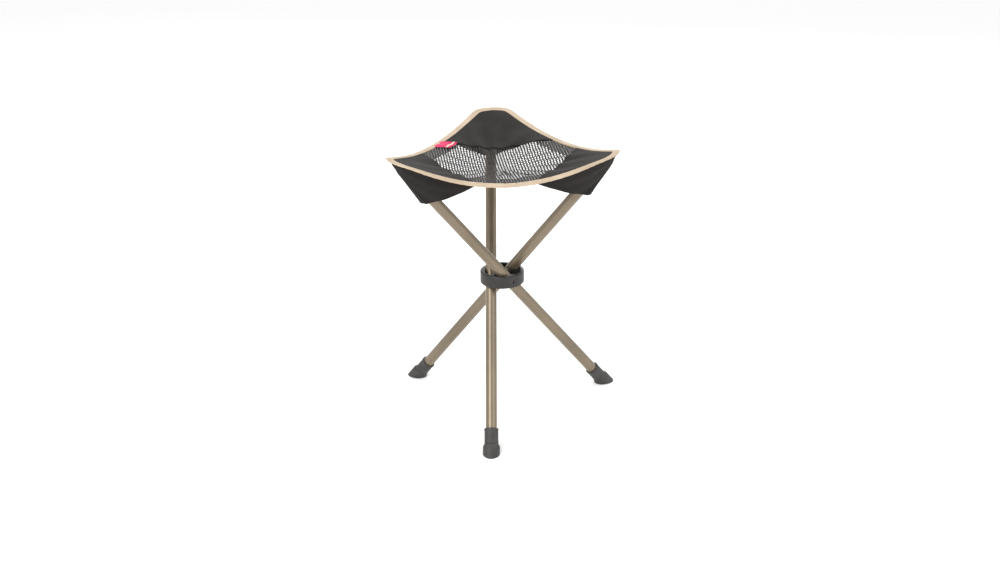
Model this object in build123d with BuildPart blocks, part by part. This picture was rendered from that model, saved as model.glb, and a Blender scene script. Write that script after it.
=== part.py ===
from build123d import *
from math import cos, hypot, radians, sin
import os

# Folding three-leg stool. Millimetres, +Z up, origin on the floor under the hub's axis.
# Leg A has its foot in front (-Y) and its top at the seat's back corner. Legs B and C are
# leg A turned by 120 and 240 degrees, so leg B's top is the front left corner.

# Frame
LEG_TILT = 39.5           # from the vertical, degrees
LEG_OFFSET = 19.0         # from the hub's axis to a tube's axis
HUB_HEIGHT = 240.0        # floor to the pivot pins
TUBE_DIAMETER = 19.0
TUBE_WALL = 1.2
TUBE_TOP = 276.0          # along the tube from its pivot
TUBE_BOTTOM = -296.0

# Hub
HUB_DIAMETER = 75.0
HUB_DEPTH = 22.0
HUB_BORE = 64.0
PAD_CLEARANCE = 0.5       # each side of a tube
WEB_THICKNESS = 3.0
WEB_OVERLAP = 2.0         # into the ring
PAD_WIDTH = 25.6
HUB_ROUND = 2.4
PIN_DIAMETER = 5.0
PIN_INNER_END = 3.0       # from the hub's axis
PIN_OUTER_END = 34.5
PIN_RUNNING_CLEARANCE = 0.05

# Rubber foot
BOOT_RIM = -268.5
BOOT_DIAMETER = 23.4
BOOT_FLARE_DIAMETER = 28.5
BOOT_FLARE_START = -294.0
BOOT_FLARE_FULL = -298.0
BOOT_LENGTH = 60.0        # before the sole is cut level with the floor
BOOT_BEAD = 1.0
BOOT_ROUND = 2.0
SOLE_ROUND = 1.0

# Plug in the tube's top
PLUG_HEAD = 4.5
PLUG_ROUND = 4.0
PLUG_STEM = 18.0

# Seat
SEAT_TURN = 4.7           # brings each corner over the tube that carries it, degrees
TIP_RADIUS = 209.0
TIP_HEIGHT = 480.0
SHOULDER_DROP = 2.0
SHOULDER_RADIUS = 199.0
SHOULDER_HALF_WIDTH = 33.0
MIDDLE_RADIUS = 133.0     # from the axis to the middle of an edge
FRONT_AZIMUTH = 270       # of the front edge's middle, before the turn
FRONT_EDGE_HEIGHT = 441.0
BACK_EDGE_HEIGHT = 454.0
CENTRE_HEIGHT = 438.0
BACK_SEAM = 76.0          # from the axis to the seam between mesh and corner panel
FRONT_SEAM = 104.0
BINDING_WIDTH = 12.0
BINDING_THICKNESS = 2.6
PANEL_THICKNESS = 1.0
MESH_THICKNESS = 0.8
SEAM_SHIFT = 0.6          # moves each sixth of the seat clear of its neighbours
PIECE_GAP = 0.3
MESH_INNER_RADIUS = 4.0
EDGE_STEPS = 5

# Pocket over the top of a tube
POCKET_MOUTH = 228.0
POCKET_TOP = 274.0
POCKET_STEPS = 3
POCKET_WALL = 1.0
POCKET_CLEARANCE = 1.6
POCKET_BELOW_SEAT = 6.0
POCKET_TOP_SPREAD = 31.0  # half its width where it meets the seat
POCKET_MOUTH_SPREAD = 54.0
POCKET_BEND = 0.4         # share of its depth at which its underside bends

# Side label
LABEL_LENGTH = 30.0
LABEL_WIDTH = 15.0
LABEL_THICKNESS = 1.0
LABEL_LIFT = 3.4
LABEL_FROM_MIDDLE = 17.0  # of the edge, to the label's centre

LEGS = {"a": -90.0, "b": 30.0, "c": 150.0}      # azimuth of each foot
SEAMS = {"a": BACK_SEAM, "b": FRONT_SEAM, "c": FRONT_SEAM}
SIDES = {"left": 1, "right": -1}                # seen from the hub, looking at the corner
SIXTH = 60.0
MATCH = 0.01              # how closely an edge's radius must agree to be picked
UP = Vector(0, 0, 1)


def horizontal(azimuth):
    return Vector(cos(radians(azimuth)), sin(radians(azimuth)), 0)


def lateral(foot_azimuth):
    """The side of the hub on which a leg passes, as a horizontal direction."""
    return horizontal(foot_azimuth - 90)


def leg_direction(foot_azimuth):
    return UP * cos(radians(LEG_TILT)) - horizontal(foot_azimuth) * sin(radians(LEG_TILT))


def leg_point(foot_azimuth, along):
    pivot = UP * HUB_HEIGHT + lateral(foot_azimuth) * LEG_OFFSET
    return pivot + leg_direction(foot_azimuth) * along


def leg_plane(foot_azimuth, along):
    """A plane across the leg: its X is the hub's lateral side, its Y points to the seat."""
    return Plane(
        origin=leg_point(foot_azimuth, along),
        x_dir=-lateral(foot_azimuth),
        z_dir=leg_direction(foot_azimuth),
    )


def upright_plane(origin, direction):
    return Plane(origin=origin, x_dir=direction, z_dir=direction.cross(UP))


# ---------------------------------------------------------------- hub and legs

def make_hub():
    pad = LEG_OFFSET + TUBE_DIAMETER / 2 + PAD_CLEARANCE
    core = LEG_OFFSET - TUBE_DIAMETER / 2 - PAD_CLEARANCE
    web_azimuths = [azimuth + 90 for azimuth in LEGS.values()]
    with BuildPart() as hub:
        with BuildSketch(Plane.XY.offset(HUB_HEIGHT - HUB_DEPTH / 2)):
            Circle(HUB_DIAMETER / 2)
            Circle(HUB_BORE / 2, mode=Mode.SUBTRACT)
            with Locations([Pos(*lateral(azimuth) * (pad + HUB_BORE / 4)) * Rot(Z=azimuth - 90)
                            for azimuth in LEGS.values()]):
                Rectangle(HUB_BORE / 2, PAD_WIDTH)
            with Locations([Rot(Z=azimuth) * Pos(X=HUB_BORE / 4 + core / 2)
                            for azimuth in web_azimuths]):
                Rectangle(HUB_BORE / 2 - core + WEB_OVERLAP, WEB_THICKNESS)
            RegularPolygon(core, 3, major_radius=False, rotation=web_azimuths[0])
            Circle(HUB_DIAMETER / 2, mode=Mode.INTERSECT)
        extrude(amount=HUB_DEPTH)
        rims = hub.edges().filter_by(GeomType.CIRCLE)
        fillet(rims.filter_by(lambda edge: abs(edge.radius - HUB_DIAMETER / 2) < MATCH), HUB_ROUND)
        for azimuth in LEGS.values():
            outside = UP * HUB_HEIGHT + lateral(azimuth) * HUB_DIAMETER / 2
            with BuildSketch(Plane(origin=outside, z_dir=-lateral(azimuth))):
                Circle(PIN_DIAMETER / 2)
            extrude(amount=HUB_DIAMETER / 2 - PIN_INNER_END, mode=Mode.SUBTRACT)
    return hub.part


def make_pin(azimuth):
    end = UP * HUB_HEIGHT + lateral(azimuth) * PIN_OUTER_END
    with BuildPart() as pin:
        with BuildSketch(Plane(origin=end, z_dir=-lateral(azimuth))):
            Circle(PIN_DIAMETER / 2)
        extrude(amount=PIN_OUTER_END - PIN_INNER_END)
    return pin.part


def make_tube(azimuth):
    with BuildPart() as tube:
        with BuildSketch(leg_plane(azimuth, TUBE_BOTTOM)):
            Circle(TUBE_DIAMETER / 2)
            Circle(TUBE_DIAMETER / 2 - TUBE_WALL, mode=Mode.SUBTRACT)
        extrude(amount=TUBE_TOP - TUBE_BOTTOM)
        with BuildSketch(Plane(origin=leg_point(azimuth, 0), z_dir=lateral(azimuth))):
            Circle(PIN_DIAMETER / 2 + PIN_RUNNING_CLEARANCE)
        extrude(amount=TUBE_DIAMETER, both=True, mode=Mode.SUBTRACT)
    return tube.part


def make_boot(azimuth):
    """A moulded sleeve with a flared toe, cut level with the floor."""
    bore = TUBE_DIAMETER / 2
    outer = BOOT_DIAMETER / 2
    flare = BOOT_FLARE_DIAMETER / 2
    side = Plane(
        origin=leg_point(azimuth, 0),
        x_dir=lateral(azimuth),
        z_dir=lateral(azimuth).cross(leg_direction(azimuth)),
    )
    with BuildPart() as boot:
        with BuildSketch(side):
            with BuildLine():
                Polyline(
                    (0, TUBE_BOTTOM),
                    (bore, TUBE_BOTTOM),
                    (bore, BOOT_RIM),
                    (outer + BOOT_BEAD / 2, BOOT_RIM),
                    (outer + BOOT_BEAD / 2, BOOT_RIM - 2 * BOOT_BEAD),
                    (outer, BOOT_RIM - 3 * BOOT_BEAD),
                    (outer, BOOT_FLARE_START),
                    (flare, BOOT_FLARE_FULL),
                    (flare, BOOT_RIM - BOOT_LENGTH),
                    (0, BOOT_RIM - BOOT_LENGTH),
                    close=True,
                )
            make_face()
        revolve(axis=Axis(leg_point(azimuth, 0), leg_direction(azimuth)))
        shoulder = boot.edges().filter_by(GeomType.CIRCLE)
        fillet(shoulder.filter_by(lambda edge: abs(edge.radius - flare) < MATCH).sort_by(
            Axis(leg_point(azimuth, 0), leg_direction(azimuth)))[-1:], BOOT_ROUND)
        split(bisect_by=Plane.XY, keep=Keep.TOP)
        sole = boot.faces().sort_by(Axis.Z)[0]
        fillet(sole.edges(), SOLE_ROUND)
    return boot.part


def make_plug(azimuth):
    """A rounded plastic plug that keeps the tube's cut end off the fabric."""
    with BuildPart() as plug:
        with BuildSketch(leg_plane(azimuth, TUBE_TOP)):
            Circle(TUBE_DIAMETER / 2)
        extrude(amount=PLUG_HEAD)
        fillet(plug.edges().sort_by(
            Axis(leg_point(azimuth, 0), leg_direction(azimuth)))[-1:], PLUG_ROUND)
        with BuildSketch(leg_plane(azimuth, TUBE_TOP)):
            Circle(TUBE_DIAMETER / 2 - TUBE_WALL)
        extrude(amount=-PLUG_STEM)
    return plug.part


# ---------------------------------------------------------------- seat

def corner_azimuth(foot_azimuth):
    return foot_azimuth + 180 + SEAT_TURN


def edge_height(foot_azimuth, side):
    """The height of the middle of the seat's edge on one side of a corner."""
    middle = round(foot_azimuth + 180 + side * SIXTH) % 360
    return FRONT_EDGE_HEIGHT if middle == FRONT_AZIMUTH else BACK_EDGE_HEIGHT


def edge_points(foot_azimuth, side):
    """Points along half an edge, tip to middle, each with its inward direction in plan."""
    corner = corner_azimuth(foot_azimuth)
    outward = horizontal(corner)
    across = horizontal(corner + side * 90)
    to_middle = horizontal(corner + side * SIXTH)
    along = horizontal(corner + side * SIXTH - side * 90)
    shoulder = outward * SHOULDER_RADIUS + across * SHOULDER_HALF_WIDTH
    span = shoulder.dot(along)
    bow = shoulder.dot(to_middle) - MIDDLE_RADIUS
    middle_height = edge_height(foot_azimuth, side)
    sag = TIP_HEIGHT - SHOULDER_DROP - middle_height
    points = [(outward * TIP_RADIUS + UP * TIP_HEIGHT, -outward)]
    for step in range(EDGE_STEPS + 1):
        share = 1 - step / EDGE_STEPS
        place = to_middle * (MIDDLE_RADIUS + bow * share**2) + along * span * share
        slope = 2 * bow * share / span
        inward = (along * slope - to_middle).normalized()
        if step == 0:
            inward = (inward - outward).normalized()
        points.append((place + UP * (middle_height + sag * share**2), inward))
    return points


def shift(foot_azimuth, side):
    return horizontal(corner_azimuth(foot_azimuth) + side * SIXTH / 2) * SEAM_SHIFT


def radial_sections(foot_azimuth, side, inner, outer, thickness):
    """Thin upright quads from the seat's centre to its edge, as (plane, corners)."""
    centre = UP * CENTRE_HEIGHT
    half = thickness / 2
    sections = []
    for place, inward in edge_points(foot_azimuth, side):
        rim = place + inward * (BINDING_WIDTH + PIECE_GAP)
        reach = hypot(rim.X, rim.Y)
        direction = Vector(rim.X, rim.Y, 0) / reach
        rise = (place.Z - CENTRE_HEIGHT) / hypot(place.X, place.Y)
        start = inner(direction, reach)
        stop = outer(direction, reach)
        if stop - start < PIECE_GAP:
            continue
        corners = [
            (start, rise * start - half),
            (stop, rise * stop - half),
            (stop, rise * stop + half),
            (start, rise * start + half),
        ]
        plane = upright_plane(centre + shift(foot_azimuth, side), direction)
        sections.append((plane, corners))
    return sections


def loft_sections(sections):
    with BuildPart() as piece:
        for plane, corners in sections:
            with BuildSketch(plane):
                Polygon(*corners, align=None)
        loft(ruled=True)
    return piece.part


def seam_reach(foot_azimuth, direction):
    """How far out the seam lies in a direction from the centre."""
    return SEAMS[foot_name(foot_azimuth)] / direction.dot(horizontal(corner_azimuth(foot_azimuth)))


def foot_name(foot_azimuth):
    return next(name for name, azimuth in LEGS.items() if azimuth == foot_azimuth)


def make_panel_half(azimuth, side):
    sections = radial_sections(
        azimuth,
        side,
        lambda direction, reach: seam_reach(azimuth, direction),
        lambda direction, reach: reach,
        PANEL_THICKNESS,
    )
    return loft_sections(sections)


def make_mesh_sixth(azimuth, side):
    sections = radial_sections(
        azimuth,
        side,
        lambda direction, reach: MESH_INNER_RADIUS,
        lambda direction, reach: min(seam_reach(azimuth, direction) - PIECE_GAP, reach),
        MESH_THICKNESS,
    )
    return loft_sections(sections)


def make_binding_half(azimuth, side):
    half = BINDING_THICKNESS / 2
    sections = []
    for place, inward in edge_points(azimuth, side):
        corners = [(0, -half), (BINDING_WIDTH, -half), (BINDING_WIDTH, half), (0, half)]
        sections.append((upright_plane(place + shift(azimuth, side), inward), corners))
    return loft_sections(sections)


def make_pocket(azimuth):
    """A fabric trough under the tube's top, open at its mouth and towards the seat."""
    bottom = TUBE_DIAMETER / 2 + POCKET_CLEARANCE
    bend = bottom * POCKET_BEND
    tilt = radians(LEG_TILT)
    rise = (TIP_HEIGHT - CENTRE_HEIGHT) / TIP_RADIUS
    with BuildPart() as pocket:
        for step in range(POCKET_STEPS + 1):
            along = POCKET_MOUTH + (POCKET_TOP - POCKET_MOUTH) * step / POCKET_STEPS
            share = (POCKET_TOP - along) / (POCKET_TOP - POCKET_MOUTH)
            # where a line square to the tube meets the seat
            height = (CENTRE_HEIGHT - HUB_HEIGHT + along * (sin(tilt) * rise - cos(tilt)))
            top = height / (sin(tilt) + cos(tilt) * rise) - POCKET_BELOW_SEAT
            spread = POCKET_TOP_SPREAD + share * (POCKET_MOUTH_SPREAD - POCKET_TOP_SPREAD)
            middle = LEG_OFFSET - along * sin(tilt) * sin(radians(SEAT_TURN))
            outline = [
                (middle - spread, top),
                (-bottom, -bend),
                (-bend, -bottom),
                (bend, -bottom),
                (bottom, -bend),
                (middle + spread, top),
            ]
            inside = [(x * (1 - POCKET_WALL / bottom) if abs(y) <= bottom else x
                       - POCKET_WALL * (1 if x > 0 else -1), y + (POCKET_WALL if y < top else 0))
                      for x, y in reversed(outline)]
            with BuildSketch(leg_plane(azimuth, along)):
                Polygon(*outline, *inside, align=None)
        loft(ruled=True)
    return pocket.part


def make_label():
    """The sewn side label, which lies on the seat by the middle of the back left edge."""
    azimuth = LEGS["a"]
    side = SIDES["left"]
    (near, _), (far, _) = edge_points(azimuth, side)[-2:]
    along = (far - near).normalized()
    middle = far - along * LABEL_FROM_MIDDLE
    centre = UP * CENTRE_HEIGHT
    normal = along.cross(centre - middle).normalized()
    normal = normal if normal.Z > 0 else -normal
    inward = normal.cross(along)
    inward = inward if inward.dot(centre - middle) > 0 else -inward
    place = middle + inward * (BINDING_WIDTH + LABEL_WIDTH / 2) + normal * LABEL_LIFT
    with BuildPart() as label:
        with BuildSketch(Plane(origin=place + shift(azimuth, side), x_dir=along, z_dir=normal)):
            Rectangle(LABEL_LENGTH, LABEL_WIDTH)
        extrude(amount=LABEL_THICKNESS)
    return label.part


def save(part, name):
    part.label = name
    export_step(part, f"parts/{name}.step")


os.makedirs("parts", exist_ok=True)
save(make_hub(), "hub")
save(make_label(), "side_label")
for leg, foot_azimuth in LEGS.items():
    save(make_pin(foot_azimuth), f"pivot_pin_{leg}")
    save(make_tube(foot_azimuth), f"leg_tube_{leg}")
    save(make_boot(foot_azimuth), f"rubber_foot_{leg}")
    save(make_plug(foot_azimuth), f"top_plug_{leg}")
    save(make_pocket(foot_azimuth), f"pocket_{leg}")
    for side_name, side in SIDES.items():
        save(make_panel_half(foot_azimuth, side), f"corner_panel_{leg}_{side_name}")
        save(make_mesh_sixth(foot_azimuth, side), f"seat_mesh_{leg}_{side_name}")
        save(make_binding_half(foot_azimuth, side), f"edge_binding_{leg}_{side_name}")
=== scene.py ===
# A folding three-leg stool: sewn seat, tape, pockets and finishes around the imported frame. Metres.
import math

import bmesh
import bpy
import numpy as np
from mathutils import Matrix, Vector


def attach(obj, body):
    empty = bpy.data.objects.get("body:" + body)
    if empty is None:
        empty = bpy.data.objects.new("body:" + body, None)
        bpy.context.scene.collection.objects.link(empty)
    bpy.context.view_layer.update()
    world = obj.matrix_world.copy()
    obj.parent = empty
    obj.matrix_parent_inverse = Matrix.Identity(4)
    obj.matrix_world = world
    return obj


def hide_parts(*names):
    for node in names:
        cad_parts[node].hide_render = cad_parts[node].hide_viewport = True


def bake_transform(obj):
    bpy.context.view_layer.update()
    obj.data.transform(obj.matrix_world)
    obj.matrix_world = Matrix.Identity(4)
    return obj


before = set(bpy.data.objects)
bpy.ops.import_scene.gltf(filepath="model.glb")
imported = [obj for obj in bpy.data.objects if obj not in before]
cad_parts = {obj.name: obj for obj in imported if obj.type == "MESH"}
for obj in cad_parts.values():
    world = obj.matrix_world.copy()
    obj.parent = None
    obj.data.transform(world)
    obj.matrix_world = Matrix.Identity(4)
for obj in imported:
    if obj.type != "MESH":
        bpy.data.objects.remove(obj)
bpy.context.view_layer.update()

# ---------------------------------------------------------------- driving sizes
LEG_TILT = math.radians(39.5)
LEG_OFFSET = 0.019
HUB_HEIGHT = 0.240
TUBE_RADIUS = 0.0095
SEAT_TURN = 4.7           # brings each corner nearer the tube that carries it, degrees
TIP_RADIUS = 0.209
TIP_HEIGHT = 0.480
SHOULDER_RADIUS = 0.199
SHOULDER_HALF_WIDTH = 0.033
SHOULDER_DROP = 0.002
MIDDLE_RADIUS = 0.133
FRONT_AZIMUTH = 270       # of the front edge's middle, before the turn
FRONT_EDGE_HEIGHT = 0.441
BACK_EDGE_HEIGHT = 0.454
SEAT_SAG = 0.024          # below the smooth surface through the edges, at the centre
SEAM_DISTANCE = {"a": 0.076, "b": 0.104, "c": 0.104}
BINDING_WIDTH = 0.012
SMOOTHING_PASSES = 24     # rounding of the corner's shoulder
OUTLINE_STEPS = 40
RIM_MARGIN = 0.0015       # where the smooth surface is read, in from the edge
RIPPLE_HEIGHT = 0.0007
FOLD_HEIGHT = 0.0014
FOLD_COUNT = 18           # folds round the seat
FOOT_AZIMUTH = {"a": -90.0, "b": 30.0, "c": 150.0}
SIDES = {"left": 1, "right": -1}
SIXTH = 60.0

UP = np.array([0.0, 0.0, 1.0])


def level(azimuth):
    """A horizontal unit vector."""
    angle = math.radians(azimuth)
    return np.array([math.cos(angle), math.sin(angle), 0.0])


def leg_frame(leg):
    """The leg's pivot, its direction, and the two across it: to the seat's middle plane, and up."""
    foot = level(FOOT_AZIMUTH[leg])
    passing = level(FOOT_AZIMUTH[leg] - 90)
    along = UP * math.cos(LEG_TILT) - foot * math.sin(LEG_TILT)
    upward = UP * math.sin(LEG_TILT) + foot * math.cos(LEG_TILT)
    return UP * HUB_HEIGHT + passing * LEG_OFFSET, along, -passing, upward


# ---------------------------------------------------------------- the seat's surface

def corner_azimuth(leg):
    return FOOT_AZIMUTH[leg] + 180 + SEAT_TURN


def middle_height(leg, side):
    middle = round(FOOT_AZIMUTH[leg] + 180 + side * SIXTH) % 360
    return FRONT_EDGE_HEIGHT if middle == FRONT_AZIMUTH else BACK_EDGE_HEIGHT


def edge_curve(leg, side, steps):
    """Half an edge in space, from the tip round the corner's shoulder to the edge's middle."""
    corner = corner_azimuth(leg)
    outward = level(corner)
    across = level(corner + side * 90)
    to_middle = level(corner + side * SIXTH)
    along = level(corner + side * (SIXTH - 90))
    shoulder = outward * SHOULDER_RADIUS + across * SHOULDER_HALF_WIDTH
    span = float(shoulder @ along)
    bow = float(shoulder @ to_middle) - MIDDLE_RADIUS
    low = middle_height(leg, side)
    sag = TIP_HEIGHT - SHOULDER_DROP - low
    cap_steps = steps // 5
    points = []
    for step in range(cap_steps):
        turn = math.pi / 2 * step / cap_steps
        reach = SHOULDER_RADIUS + (TIP_RADIUS - SHOULDER_RADIUS) * math.cos(turn)
        height = TIP_HEIGHT - SHOULDER_DROP * (1 - math.cos(turn))
        points.append(outward * reach + across * SHOULDER_HALF_WIDTH * math.sin(turn) + UP * height)
    for step in range(steps - cap_steps + 1):
        share = 1 - step / (steps - cap_steps)
        place = to_middle * (MIDDLE_RADIUS + bow * share**2) + along * span * share
        points.append(place + UP * (low + sag * share**2))
    points = np.array(points)
    for _ in range(SMOOTHING_PASSES):
        points[1:-1] = points[1:-1] * 0.5 + (points[:-2] + points[2:]) * 0.25
    return points


def seat_outline():
    """The seat's edge all the way round, in order, as points in space."""
    loop = []
    for leg in ("a", "b", "c"):
        right = edge_curve(leg, SIDES["right"], OUTLINE_STEPS)[::-1]
        left = edge_curve(leg, SIDES["left"], OUTLINE_STEPS)
        loop.extend(right[1:])
        loop.extend(left[1:])
    return np.array(loop)


OUTLINE = seat_outline()
POLAR = np.array(sorted((math.atan2(p[1], p[0]), math.hypot(p[0], p[1])) for p in OUTLINE))
POLAR = np.vstack([POLAR - [2 * math.pi, 0], POLAR, POLAR + [2 * math.pi, 0]])


def smooth_height(x, y):
    """The height of a smooth surface through the whole edge, by mean value coordinates."""
    arms = OUTLINE[None, :, :2] - np.column_stack([x, y])[:, None, :]
    length = np.maximum(np.linalg.norm(arms, axis=2), 1e-9)
    following = np.roll(arms, -1, axis=1)
    cross = arms[..., 0] * following[..., 1] - arms[..., 1] * following[..., 0]
    dot = (arms * following).sum(axis=2)
    half = np.tan(np.arctan2(cross, dot) / 2)
    weight = (half + np.roll(half, 1, axis=1)) / length
    return (weight @ OUTLINE[:, 2]) / weight.sum(axis=1)


def seat_height(x, y):
    """The cloth's height over a place in plan: a sling through the edges that sags, with slight ripples."""
    x = np.asarray(x, float)
    y = np.asarray(y, float)
    azimuth = np.arctan2(y, x)
    reach = np.hypot(x, y)
    rim = np.interp(azimuth, POLAR[:, 0], POLAR[:, 1])
    share = np.clip(reach / rim, 0, 1)
    inside = np.minimum(reach, rim - RIM_MARGIN) / np.maximum(reach, 1e-9)
    smooth = smooth_height(x * inside, y * inside)
    sag = SEAT_SAG * (1 - share**2) ** 2
    ripple = RIPPLE_HEIGHT * np.sin(60 * x + 35 * y + 1.0) * np.sin(41 * y - 22 * x)
    fold = FOLD_HEIGHT * np.sin(azimuth * FOLD_COUNT + 5 * share) * np.sin(np.pi * share) ** 2
    return smooth - sag + (ripple + fold) * (1 - share**8)


def inward_normals(points):
    tangent = np.gradient(points, axis=0)
    tangent[:, 2] = 0
    tangent /= np.linalg.norm(tangent, axis=1)[:, None]
    inward = np.cross(np.tile(UP, (len(points), 1)), tangent)
    flip = np.einsum("ij,ij->i", inward, -points * [1, 1, 0]) < 0
    inward[flip] *= -1
    return inward


# ---------------------------------------------------------------- mesh helpers

SHARP_ANGLE = math.radians(50)


def new_object(name, vertices, faces, material):
    data = bpy.data.meshes.new(name)
    data.from_pydata([tuple(map(float, v)) for v in vertices], [], faces)
    data.validate()
    tidy = bmesh.new()
    tidy.from_mesh(data)
    bmesh.ops.remove_doubles(tidy, verts=tidy.verts, dist=1e-7)
    bmesh.ops.recalc_face_normals(tidy, faces=tidy.faces)
    tidy.to_mesh(data)
    tidy.free()
    obj = bpy.data.objects.new(name, data)
    bpy.context.scene.collection.objects.link(obj)
    obj.data.materials.append(material)
    obj.data.shade_smooth()
    obj.data.set_sharp_from_angle(angle=SHARP_ANGLE)
    return obj


def grid_faces(rows, columns, close=False):
    faces = []
    for row in range(rows - 1):
        for column in range(columns if close else columns - 1):
            following = (column + 1) % columns
            faces.append((row * columns + column, row * columns + following,
                          (row + 1) * columns + following, (row + 1) * columns + column))
    return faces


def thick_sheet(name, top, thickness, material):
    """A closed sheet from a grid of points (rows, columns, 3): its other face is thickness below."""
    rows, columns = top.shape[:2]
    along_rows = np.gradient(top, axis=0)
    along_columns = np.gradient(top, axis=1)
    normal = np.cross(along_rows, along_columns)
    length = np.linalg.norm(normal, axis=2)[..., None]
    normal = normal / np.maximum(length, 1e-12)
    count = rows * columns
    vertices = np.vstack([(top + normal * thickness / 2).reshape(-1, 3),
                          (top - normal * thickness / 2).reshape(-1, 3)])
    upper = grid_faces(rows, columns)
    lower = [tuple(count + i for i in reversed(face)) for face in upper]
    rim = ([(0, c) for c in range(columns)] + [(r, columns - 1) for r in range(1, rows)]
           + [(rows - 1, c) for c in range(columns - 2, -1, -1)] + [(r, 0) for r in range(rows - 2, 0, -1)])
    ring = [r * columns + c for r, c in rim]
    walls = [(ring[i], ring[(i + 1) % len(ring)], ring[(i + 1) % len(ring)] + count, ring[i] + count)
             for i in range(len(ring))]
    return new_object(name, vertices, upper + lower + walls, material)


def swept(name, centres, sides, ups, profile, material):
    """A closed profile of (side, up) offsets carried along a line of centres, with flat ends."""
    rows = []
    for centre, side, up in zip(centres, sides, ups):
        rows.extend(centre + side * a + up * b for a, b in profile)
    count = len(profile)
    faces = grid_faces(len(centres), count, close=True)
    faces.append(tuple(range(count)))
    last = (len(centres) - 1) * count
    faces.append(tuple(last + i for i in reversed(range(count))))
    return new_object(name, rows, faces, material)


# ---------------------------------------------------------------- materials

def material(name, colour, roughness, metallic=0.0):
    made = bpy.data.materials.new(name)
    made.use_nodes = True
    shader = made.node_tree.nodes["Principled BSDF"]
    shader.inputs["Base Color"].default_value = (*colour, 1)
    shader.inputs["Roughness"].default_value = roughness
    shader.inputs["Metallic"].default_value = metallic
    return made, made.node_tree, shader


def add(tree, kind, **values):
    node = tree.nodes.new(kind)
    for key, value in values.items():
        if key in node.inputs:
            node.inputs[key].default_value = value
        else:
            setattr(node, key.lower(), value)
    return node


def coloured(tree, shader, factor, dark, light, low=0.3, high=0.7):
    ramp = add(tree, "ShaderNodeValToRGB")
    ramp.color_ramp.elements[0].position = low
    ramp.color_ramp.elements[1].position = high
    ramp.color_ramp.elements[0].color = (*dark, 1)
    ramp.color_ramp.elements[1].color = (*light, 1)
    tree.links.new(factor, ramp.inputs["Fac"])
    tree.links.new(ramp.outputs["Color"], shader.inputs["Base Color"])


def bumped(tree, shader, height, strength, distance):
    bump = add(tree, "ShaderNodeBump", Strength=strength, Distance=distance)
    tree.links.new(height, bump.inputs["Height"])
    tree.links.new(bump.outputs["Normal"], shader.inputs["Normal"])


def noise(tree, scale, detail=3.0, stretch=None):
    place = add(tree, "ShaderNodeTexCoord").outputs["Object"]
    if stretch:
        mapping = add(tree, "ShaderNodeMapping", Scale=stretch)
        tree.links.new(place, mapping.inputs["Vector"])
        place = mapping.outputs["Vector"]
    node = add(tree, "ShaderNodeTexNoise", Scale=scale, Detail=detail)
    tree.links.new(place, node.inputs["Vector"])
    return node.outputs["Fac"]


def weave(tree, pitch):
    """Over-and-under threads, from two crossed bands."""
    place = add(tree, "ShaderNodeTexCoord").outputs["Object"]
    waves = []
    for direction in ("X", "Y"):
        wave = add(tree, "ShaderNodeTexWave", Scale=0.314 / pitch, Distortion=0.4)
        wave.inputs["Detail"].default_value = 0
        wave.bands_direction = direction
        tree.links.new(place, wave.inputs["Vector"])
        waves.append(wave.outputs["Fac"])
    joined = add(tree, "ShaderNodeMath")
    joined.operation = "MULTIPLY"
    tree.links.new(waves[0], joined.inputs[0])
    tree.links.new(waves[1], joined.inputs[1])
    return joined.outputs["Value"]


def fabric(name, dark, light, roughness, pitch, depth):
    made, tree, shader = material(name, light, roughness)
    shader.inputs["Specular IOR Level"].default_value = 0.15
    shader.inputs["Sheen Weight"].default_value = 0.03
    shader.inputs["Sheen Roughness"].default_value = 0.5
    coloured(tree, shader, noise(tree, 28.0, 6.0), dark, light)
    bumped(tree, shader, weave(tree, pitch), 0.5, depth)
    return made


def tube_paint():
    made, tree, shader = material("tube_paint", (0.20, 0.157, 0.105), 0.34, 0.55)
    coloured(tree, shader, noise(tree, 9.0, 4.0), (0.158, 0.124, 0.082), (0.225, 0.178, 0.121))
    bumped(tree, shader, noise(tree, 900.0, 2.0), 0.12, 0.0002)
    shader.inputs["Coat Weight"].default_value = 0.2
    shader.inputs["Coat Roughness"].default_value = 0.25
    return made


def moulded(name, dark, light, roughness, grain, depth):
    made, tree, shader = material(name, light, roughness)
    coloured(tree, shader, noise(tree, 60.0, 5.0), dark, light)
    bumped(tree, shader, noise(tree, grain, 3.0), 0.4, depth)
    return made


def steel():
    made, tree, shader = material("pin_steel", (0.33, 0.33, 0.33), 0.35, 1.0)
    coloured(tree, shader, noise(tree, 200.0, 2.0, (1, 1, 12)), (0.22, 0.22, 0.22), (0.4, 0.4, 0.4))
    return made


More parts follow.
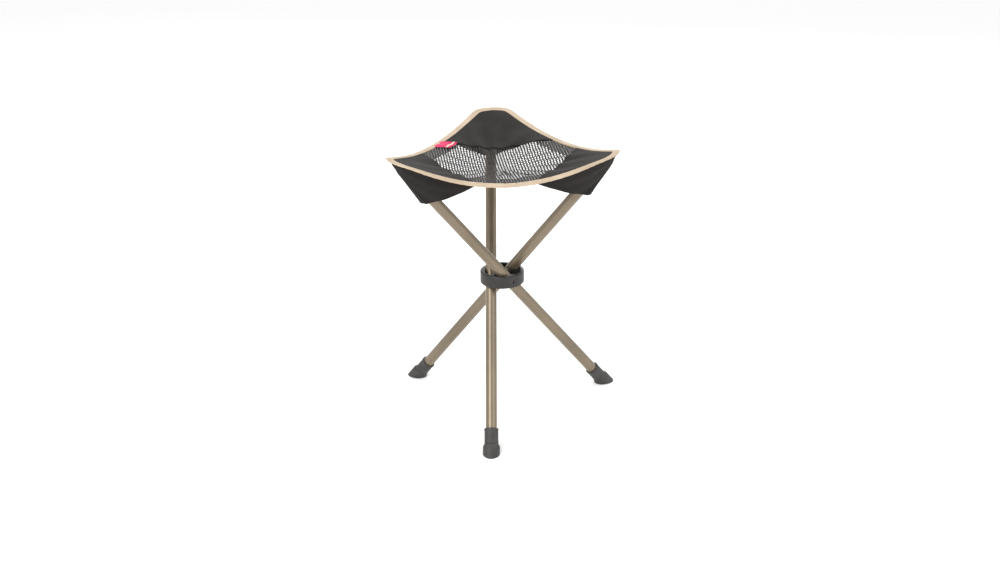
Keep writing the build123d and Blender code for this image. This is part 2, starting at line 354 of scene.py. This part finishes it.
FINISH = {
    "tube_paint": tube_paint(),
    "hub_plastic": moulded("hub_plastic", (0.0085, 0.0075, 0.0068), (0.017, 0.0155, 0.0142),
                           0.5, 500.0, 0.0003),
    "plug_plastic": moulded("plug_plastic", (0.03, 0.03, 0.03), (0.05, 0.05, 0.05), 0.5, 500.0, 0.0003),
    "foot_rubber": moulded("foot_rubber", (0.024, 0.022, 0.021), (0.045, 0.041, 0.039), 0.62, 320.0, 0.0008),
    "pin_steel": steel(),
    "panel_fabric": fabric("panel_fabric", (0.0085, 0.0070, 0.0062), (0.0155, 0.0130, 0.0115),
                           0.8, 0.0007, 0.0002),
    "mesh_fabric": fabric("mesh_fabric", (0.011, 0.0095, 0.0085), (0.019, 0.0165, 0.0145),
                          0.65, 0.0005, 0.0002),
    "binding_tape": fabric("binding_tape", (0.40, 0.31, 0.22), (0.52, 0.415, 0.305), 0.8, 0.0008, 0.0003),
    "stitch_dark": fabric("stitch_dark", (0.014, 0.012, 0.011), (0.03, 0.027, 0.025), 0.7, 0.0004, 0.0001),
    "stitch_pale": fabric("stitch_pale", (0.58, 0.49, 0.38), (0.78, 0.68, 0.55), 0.7, 0.0004, 0.0001),
    "label_fabric": fabric("label_fabric", (0.50, 0.02, 0.085), (0.64, 0.04, 0.13), 0.7, 0.0006, 0.0002),
}

for node_name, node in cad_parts.items():
    for start, finish in (("leg_tube", "tube_paint"), ("hub", "hub_plastic"), ("top_plug", "plug_plastic"),
                          ("rubber_foot", "foot_rubber"), ("pivot_pin", "pin_steel")):
        if node_name.startswith(start):
            for slot in node.material_slots:
                slot.material = FINISH[finish]


# ---------------------------------------------------------------- the six flaps of the seat

PANEL_THICKNESS = 0.0011
TAPE_THICKNESS = 0.0026
PANEL_UNDER_TAPE = 0.004
HEM_WIDTH = 0.006
NET_PITCH = (0.0047, 0.0050)
NET_STRAND = (0.0025, 0.0014)
NET_THICKNESS = 0.0004
NET_BORDER = 0.040        # its close-knit border, from the seat's edge
NET_CLOSED = 0.8          # share of each hole that the border's knit closes, each way
NET_SLANT = math.radians(8)
NET_REACH = 0.14
NET_BELOW_SEAT = 0.0008
NET_WEAVE_LIFT = 0.00015
NET_UNDER_PANEL = 0.004
STITCH_PITCH = 0.0034
STITCH_LENGTH = 0.0024
STITCH_RADIUS = 0.00032
TAPE_SWELL = 1.05         # of its half thickness, away from the edges
TAPE_END_SHARE = 0.75     # of its half thickness, at the inner edge
TAPE_SEAM_SHARE = 0.82    # of its width, to the row of stitches
PUCKER_HEIGHT = 0.00025
PUCKER_LENGTHS = (0.011, 0.047)
EDGE_STEPS = 60
PANEL_STEPS = 26


def flap_body(leg, side_name):
    return f"flap_{leg}_{side_name}"


def finish_piece(obj, body, slot, *nodes):
    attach(obj, body)
    if nodes:
        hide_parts(*nodes)
    return obj


def on_seat(points, lift=0.0):
    points = np.array(points, float)
    height = seat_height(points[:, 0], points[:, 1])
    return np.column_stack([points[:, :2], height + lift])


def stitches(name, line, body, slot, finish, lift):
    """A row of short threads along a line of points, each with flattened round ends."""
    steps = np.linalg.norm(np.diff(line, axis=0), axis=1)
    places = np.concatenate([[0], np.cumsum(steps)])
    vertices, faces = [], []
    ring = [(math.cos(math.radians(a)), math.sin(math.radians(a))) for a in range(0, 360, 60)]
    count = int(places[-1] / STITCH_PITCH)
    for number in range(count):
        middle = (number + 0.5) * STITCH_PITCH
        ends = []
        for place in (middle - STITCH_LENGTH / 2, middle + STITCH_LENGTH / 2):
            ends.append(np.array([np.interp(place, places, line[:, axis]) for axis in range(3)]))
        direction = (ends[1] - ends[0]) / np.linalg.norm(ends[1] - ends[0])
        across = np.cross(direction, UP)
        across /= np.linalg.norm(across)
        above = np.cross(across, direction)
        first = len(vertices)
        for share, swell in ((0.0, 0.45), (0.2, 1.0), (0.8, 1.0), (1.0, 0.45)):
            centre = ends[0] * (1 - share) + ends[1] * share + above * lift
            vertices.extend(centre + (across * a + above * b) * STITCH_RADIUS * swell for a, b in ring)
        for face in grid_faces(4, len(ring), close=True):
            faces.append(tuple(first + i for i in face))
        faces.append(tuple(first + i for i in range(len(ring))))
        faces.append(tuple(first + 3 * len(ring) + i for i in reversed(range(len(ring)))))
    return finish_piece(new_object(name, vertices, faces, FINISH[finish]), body, slot)


def make_tape(leg, side_name):
    """The edge tape as one closed strip, not a real fold: a round outer edge and puckered sides."""
    side = SIDES[side_name]
    line = edge_curve(leg, side, EDGE_STEPS)
    inward = inward_normals(line)
    inner = line + inward * BINDING_WIDTH
    inner[:, 2] = seat_height(inner[:, 0], inner[:, 1])
    across = inner - line
    across /= np.linalg.norm(across, axis=1)[:, None]
    tangent = np.gradient(line, axis=0)
    tangent /= np.linalg.norm(tangent, axis=1)[:, None]
    above = np.cross(tangent, across)
    above /= np.linalg.norm(above, axis=1)[:, None]
    above[above[:, 2] < 0] *= -1
    half = TAPE_THICKNESS / 2
    fold = [(half - half * math.cos(math.radians(a)), half * math.sin(math.radians(a)))
            for a in range(90, -91, -30)]
    flat = [0.35, 0.6, 0.85]
    lower = [(BINDING_WIDTH * share, -half * TAPE_SWELL) for share in flat]
    inner_end = [(BINDING_WIDTH, -half * TAPE_END_SHARE), (BINDING_WIDTH, half * TAPE_END_SHARE)]
    upper = [(BINDING_WIDTH * share, half * TAPE_SWELL) for share in reversed(flat)]
    profile = fold + lower + inner_end + upper
    length = np.concatenate([[0], np.cumsum(np.linalg.norm(np.diff(line, axis=0), axis=1))])
    short, long = PUCKER_LENGTHS
    pucker = (PUCKER_HEIGHT * np.sin(length * 2 * math.pi / short)
              * np.sin(length * 2 * math.pi / long))
    body = flap_body(leg, side_name)
    tape = swept(f"edge_tape_{leg}_{side_name}", line + above * pucker[:, None], across, above, profile,
                 FINISH["binding_tape"])
    finish_piece(tape, body, "binding_tape", f"edge_binding_{leg}_{side_name}")
    seam = line + across * BINDING_WIDTH * TAPE_SEAM_SHARE
    stitches(f"tape_stitch_{leg}_{side_name}", seam, body, "binding_tape", "stitch_pale",
             half * TAPE_SWELL + STITCH_RADIUS * 0.5)


def seam_reach(leg, direction):
    return SEAM_DISTANCE[leg] / float(direction @ level(corner_azimuth(leg)))


def make_panel(leg, side_name):
    """Half of a corner panel, from the seam over the net to under the edge tape, with its turned hem."""
    side = SIDES[side_name]
    line = edge_curve(leg, side, EDGE_STEPS)
    rim = line + inward_normals(line) * (BINDING_WIDTH - PANEL_UNDER_TAPE)
    rows, seam_line, hem_line = [], [], []
    for point in rim:
        reach = math.hypot(point[0], point[1])
        direction = np.array([point[0] / reach, point[1] / reach, 0])
        start = seam_reach(leg, direction)
        if reach - start < 0.004:
            break
        places = start + (reach - start) * np.linspace(0, 1, PANEL_STEPS) ** 0.9
        rows.append(on_seat(direction * places[:, None]))
        seam_line.append(direction * (start + 0.0012))
        hem_line.append(direction * (start + HEM_WIDTH))
    rows = np.array(rows)
    body = flap_body(leg, side_name)
    panel = thick_sheet(f"seat_panel_{leg}_{side_name}", rows, PANEL_THICKNESS, FINISH["panel_fabric"])
    finish_piece(panel, body, "panel_fabric", f"corner_panel_{leg}_{side_name}")
    for row_name, places in (("seam", seam_line), ("hem", hem_line)):
        stitches(f"{row_name}_stitch_{leg}_{side_name}", on_seat(places), body, "panel_fabric",
                 "stitch_dark", PANEL_THICKNESS / 2 + STITCH_RADIUS * 0.4)


def flap_of(x, y):
    """Which flap a place in plan belongs to."""
    azimuth = math.degrees(math.atan2(y, x))
    best = None
    for leg in FOOT_AZIMUTH:
        turn = (azimuth - corner_azimuth(leg) + 180) % 360 - 180
        if abs(turn) <= SIXTH + 1e-6:
            best = (leg, "left" if turn >= 0 else "right")
    return best


def rim_distance(x, y):
    """How far in from the seat's edge a place lies, in plan."""
    return float(np.hypot(OUTLINE[:, 0] - x, OUTLINE[:, 1] - y).min())


def inside_net(x, y):
    """Within the net: short of the seams, and under the edge tape by a little."""
    rim = np.interp(math.atan2(y, x), POLAR[:, 0], POLAR[:, 1])
    if math.hypot(x, y) > rim - BINDING_WIDTH * 0.6:
        return False
    for leg, distance in SEAM_DISTANCE.items():
        if float(np.array([x, y, 0]) @ level(corner_azimuth(leg))) > distance + NET_UNDER_PANEL:
            return False
    return True


def make_nets():
    """One open net over the seat's middle, cut where two flaps meet."""
    turn = np.array([[math.cos(NET_SLANT), -math.sin(NET_SLANT)],
                     [math.sin(NET_SLANT), math.cos(NET_SLANT)]])
    lines = []
    for axis in (0, 1):
        count = int(NET_REACH / NET_PITCH[axis])
        starts = np.arange(-count, count + 1) * NET_PITCH[axis]
        lines.append(np.sort(np.concatenate([starts, starts + NET_STRAND[axis]])))
    parts = {}
    for column in range(len(lines[0]) - 1):
        for row in range(len(lines[1]) - 1):
            corners = [turn @ np.array([lines[0][column + a], lines[1][row + b]])
                       for a, b in ((0, 0), (1, 0), (1, 1), (0, 1))]
            middle = sum(corners) / 4
            if not inside_net(*middle):
                continue
            if column % 2 == 1 and row % 2 == 1:
                if rim_distance(*middle) > NET_BORDER:
                    continue
                corners[1] = corners[0] + (corners[1] - corners[0]) * NET_CLOSED
                corners[2] = corners[3] + (corners[2] - corners[3]) * NET_CLOSED
            parts.setdefault(flap_of(*middle), []).append(corners)
    for (leg, side_name), quads in sorted(parts.items()):
        corners = np.array(quads).reshape(-1, 2)
        weave_lift = NET_WEAVE_LIFT * np.sin(corners[:, 0] / NET_PITCH[0] * math.pi)
        height = seat_height(corners[:, 0], corners[:, 1]) - NET_BELOW_SEAT + weave_lift
        vertices = np.column_stack([corners, height])
        faces = [(4 * i, 4 * i + 1, 4 * i + 2, 4 * i + 3) for i in range(len(quads))]
        net = new_object(f"seat_net_{leg}_{side_name}", vertices, faces, FINISH["mesh_fabric"])
        solid = net.modifiers.new("thickness", "SOLIDIFY")
        solid.thickness = NET_THICKNESS
        solid.offset = 0
        bake_modifiers(net)
        finish_piece(net, flap_body(leg, side_name), "mesh_fabric", f"seat_mesh_{leg}_{side_name}")


def bake_modifiers(obj):
    bpy.context.view_layer.update()
    evaluated = obj.evaluated_get(bpy.context.evaluated_depsgraph_get())
    made = bpy.data.meshes.new_from_object(evaluated)
    obj.modifiers.clear()
    obj.data = made


# ---------------------------------------------------------------- pockets

POCKET_STEPS = 34
POCKET_RING = 30
POCKET_TIP = 0.320
POCKET_MOUTH = 0.228
POCKET_REACH = 0.76       # how far along half an edge its cloth is sewn in
POCKET_SLACK = (0.0016, 0.0085)
PLUG_END = 0.286
POCKET_BELOW_SEAT = 0.0021
POCKET_THICKNESS = 0.0009
POCKET_BELLY = 0.004
POCKET_WRINKLE = 0.0009
POCKET_WRAP = math.radians(150)     # the most that its cloth goes round the tube
POCKET_STRAIGHT = 0.6     # share of a row before it meets the tube


def make_pocket(leg, side_name):
    """Half of a pocket: cloth from the seat's edge down and round the underside of the tube."""
    side = SIDES[side_name]
    pivot, along, inward, upward = leg_frame(leg)
    edge = edge_curve(leg, side, EDGE_STEPS)
    edge = edge + inward_normals(edge) * BINDING_WIDTH * 0.5
    tip = np.array([float((edge[0] - pivot) @ inward), float((edge[0] - pivot) @ upward)])
    outward = 1.0 if float(level(FOOT_AZIMUTH[leg] + 180 + side * 90) @ inward) > 0 else -1.0
    rows = []
    for step in range(POCKET_STEPS):
        share = step / (POCKET_STEPS - 1)
        place = share * POCKET_REACH * EDGE_STEPS
        index = min(int(place), EDGE_STEPS - 1)
        sewn = edge[index] * (1 - place + index) + edge[index + 1] * (place - index)
        local = sewn - pivot
        start = np.array([float(local @ inward), float(local @ upward)])
        start_along = float(local @ along)
        tube_along = POCKET_TIP + (POCKET_MOUTH - POCKET_TIP) * share
        onto = min(1.0, max(0.0, (POCKET_TIP - tube_along) / (POCKET_TIP - PLUG_END)))
        onto = math.sin(onto * math.pi / 2)
        centre = tip * (1 - onto)
        slack = POCKET_SLACK[0] + (POCKET_SLACK[1] - POCKET_SLACK[0]) * share**1.5
        radius = (TUBE_RADIUS + slack) * max(onto, 0.02)
        arm = start - centre
        distance = max(float(np.linalg.norm(arm)), radius * 1.02)
        lean = math.acos(min(radius / distance, 1.0))
        heading = math.atan2(arm[1], arm[0])
        touch = heading - outward * lean
        bottom = -math.pi / 2
        while outward > 0 and touch < bottom:
            touch += 2 * math.pi
        while outward < 0 and touch > bottom:
            touch -= 2 * math.pi
        if outward > 0:
            touch = min(touch, bottom + POCKET_WRAP)
        else:
            touch = max(touch, bottom - POCKET_WRAP)
        row = []
        straight = centre + radius * np.array([math.cos(touch), math.sin(touch)])
        for ring in range(POCKET_RING):
            turn = ring / (POCKET_RING - 1)
            if turn < POCKET_STRAIGHT:
                part = turn / POCKET_STRAIGHT
                flat = start * (1 - part) + straight * part
                belly = POCKET_BELLY * share * math.sin(math.pi * part)
                flat = flat + np.array([outward * belly * 0.6, -belly])
            else:
                part = (turn - POCKET_STRAIGHT) / (1 - POCKET_STRAIGHT)
                angle = touch + (bottom - touch) * part
                flat = centre + radius * np.array([math.cos(angle), math.sin(angle)])
            ease = turn * turn * (3 - 2 * turn)
            reach = start_along * (1 - ease) + tube_along * ease
            wrinkle = POCKET_WRINKLE * math.sin(22 * turn + 9 * share) * math.sin(math.pi * turn) * share
            row.append(pivot + along * reach + inward * flat[0] + upward * (flat[1] + wrinkle))
        rows.append(row)
    rows = np.array(rows)
    below = seat_height(rows[..., 0].ravel(), rows[..., 1].ravel()).reshape(rows.shape[:2])
    below = below - POCKET_BELOW_SEAT
    rows[..., 2] = np.minimum(rows[..., 2], below)
    pocket = thick_sheet(f"pocket_cloth_{leg}_{side_name}", rows, POCKET_THICKNESS, FINISH["panel_fabric"])
    if side_name == "left":
        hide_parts(f"pocket_{leg}")
    sewn, low = rows[-1, 0], rows[-1, -1]
    gap = sewn - low
    gap = gap - along * float(gap @ along)
    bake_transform(pocket)


# ---------------------------------------------------------------- side label

LABEL_SIZE = (0.027, 0.028)
LABEL_SKEW = math.radians(-16)
LABEL_FROM_MIDDLE = 0.010  # of the edge, to the label's centre
LABEL_THICKNESS = 0.0006


def make_label():
    """A plain woven label with one pale stripe, sewn in by the middle of the back left edge."""
    line = edge_curve("a", SIDES["left"], EDGE_STEPS)
    ahead = (line[-1] - line[-4]) * [1, 1, 0]
    ahead /= np.linalg.norm(ahead)
    middle = line[-1] - ahead * LABEL_FROM_MIDDLE
    inward = np.cross(UP, ahead)
    if float(inward @ middle) > 0:
        inward = -inward
    hang = inward * math.cos(LABEL_SKEW) + ahead * math.sin(LABEL_SKEW)
    length, width = LABEL_SIZE
    for name, band, lift, finish in (("side_label_cloth", (0, 1), 0.0018, "label_fabric"),
                                     ("side_label_stripe", (0.74, 0.84), 0.0024, "stitch_pale")):
        rows = []
        for share in np.linspace(-0.5, 0.5, 24):
            row = []
            for step in np.linspace(*band, 12):
                place = middle + ahead * length * share + inward * BINDING_WIDTH * 0.8 + hang * width * step
                place = on_seat([place])[0]
                curl = 0.0008 * step**2 + 0.0006 * math.sin(share * 9)
                row.append(place + UP * (lift + curl))
            rows.append(row)
        label = thick_sheet(name, np.array(rows), LABEL_THICKNESS, FINISH[finish])
        body = flap_body("a", "left")
        if name == "side_label_cloth":
            finish_piece(label, body, "label_fabric", "side_label")
        else:
            finish_piece(label, body, "label_fabric")


for leg_name in FOOT_AZIMUTH:
    for side_key in SIDES:
        make_panel(leg_name, side_key)
        make_tape(leg_name, side_key)
        make_pocket(leg_name, side_key)
make_nets()
make_label()


# ---------------------------------------------------------------- studio and camera

LAMP_TARGET = Vector((0, 0, 0.3))


def make_studio():
    bpy.ops.mesh.primitive_plane_add(size=14, location=(0, 0, 0))
    floor = bpy.context.object
    floor.name = "studio_floor"
    paper, _, _ = material("floor_paper", (0.93, 0.93, 0.93), 0.9)
    floor.data.materials.append(paper)
    world = bpy.data.worlds.new("studio")
    bpy.context.scene.world = world
    world.use_nodes = True
    world.node_tree.nodes["Background"].inputs["Color"].default_value = (1, 1, 1, 1)
    world.node_tree.nodes["Background"].inputs["Strength"].default_value = 1.0
    for name, place, power, size in (("key", (-1.3, -1.7, 1.9), 42, 1.4),
                                     ("fill", (1.8, -1.2, 1.2), 16, 1.6),
                                     ("rim", (0.4, 1.8, 1.7), 22, 1.2)):
        lamp = bpy.data.lights.new(name, "AREA")
        lamp.energy = power
        lamp.size = size
        obj = bpy.data.objects.new(name, lamp)
        bpy.context.scene.collection.objects.link(obj)
        obj.location = place
        aim = LAMP_TARGET - Vector(place)
        obj.rotation_euler = aim.to_track_quat("-Z", "Y").to_euler()


CAMERA_DISTANCE = 2.5     # level distance from the hub's axis
CAMERA_HEIGHT = 1.2107
CAMERA_AZIMUTH = math.radians(1.027)    # how far the view is turned round the stool
CAMERA_YAW = math.radians(-1.117)
CAMERA_PITCH = math.radians(21.446)
CAMERA_ROLL = math.radians(-0.963)
CAMERA_LENS = 56.33


def make_camera():
    data = bpy.data.cameras.new("camera")
    data.lens = CAMERA_LENS
    data.sensor_width = 36
    data.clip_end = 50
    camera = bpy.data.objects.new("camera", data)
    bpy.context.scene.collection.objects.link(camera)
    ahead = Vector((math.sin(CAMERA_YAW) * math.cos(CAMERA_PITCH),
                    math.cos(CAMERA_YAW) * math.cos(CAMERA_PITCH), -math.sin(CAMERA_PITCH)))
    right = Vector((math.cos(CAMERA_YAW), -math.sin(CAMERA_YAW), 0))
    above = right.cross(ahead)
    rolled = right * math.cos(CAMERA_ROLL) + above * math.sin(CAMERA_ROLL)
    upright = -right * math.sin(CAMERA_ROLL) + above * math.cos(CAMERA_ROLL)
    turned = Matrix((rolled, upright, -ahead)).transposed().to_4x4()
    place = Vector((math.sin(CAMERA_AZIMUTH) * CAMERA_DISTANCE, -math.cos(CAMERA_AZIMUTH) * CAMERA_DISTANCE,
                    CAMERA_HEIGHT))
    camera.matrix_world = Matrix.Translation(place) @ turned
    bpy.context.scene.camera = camera


make_studio()
make_camera()
bpy.context.scene.view_settings.view_transform = "Standard"
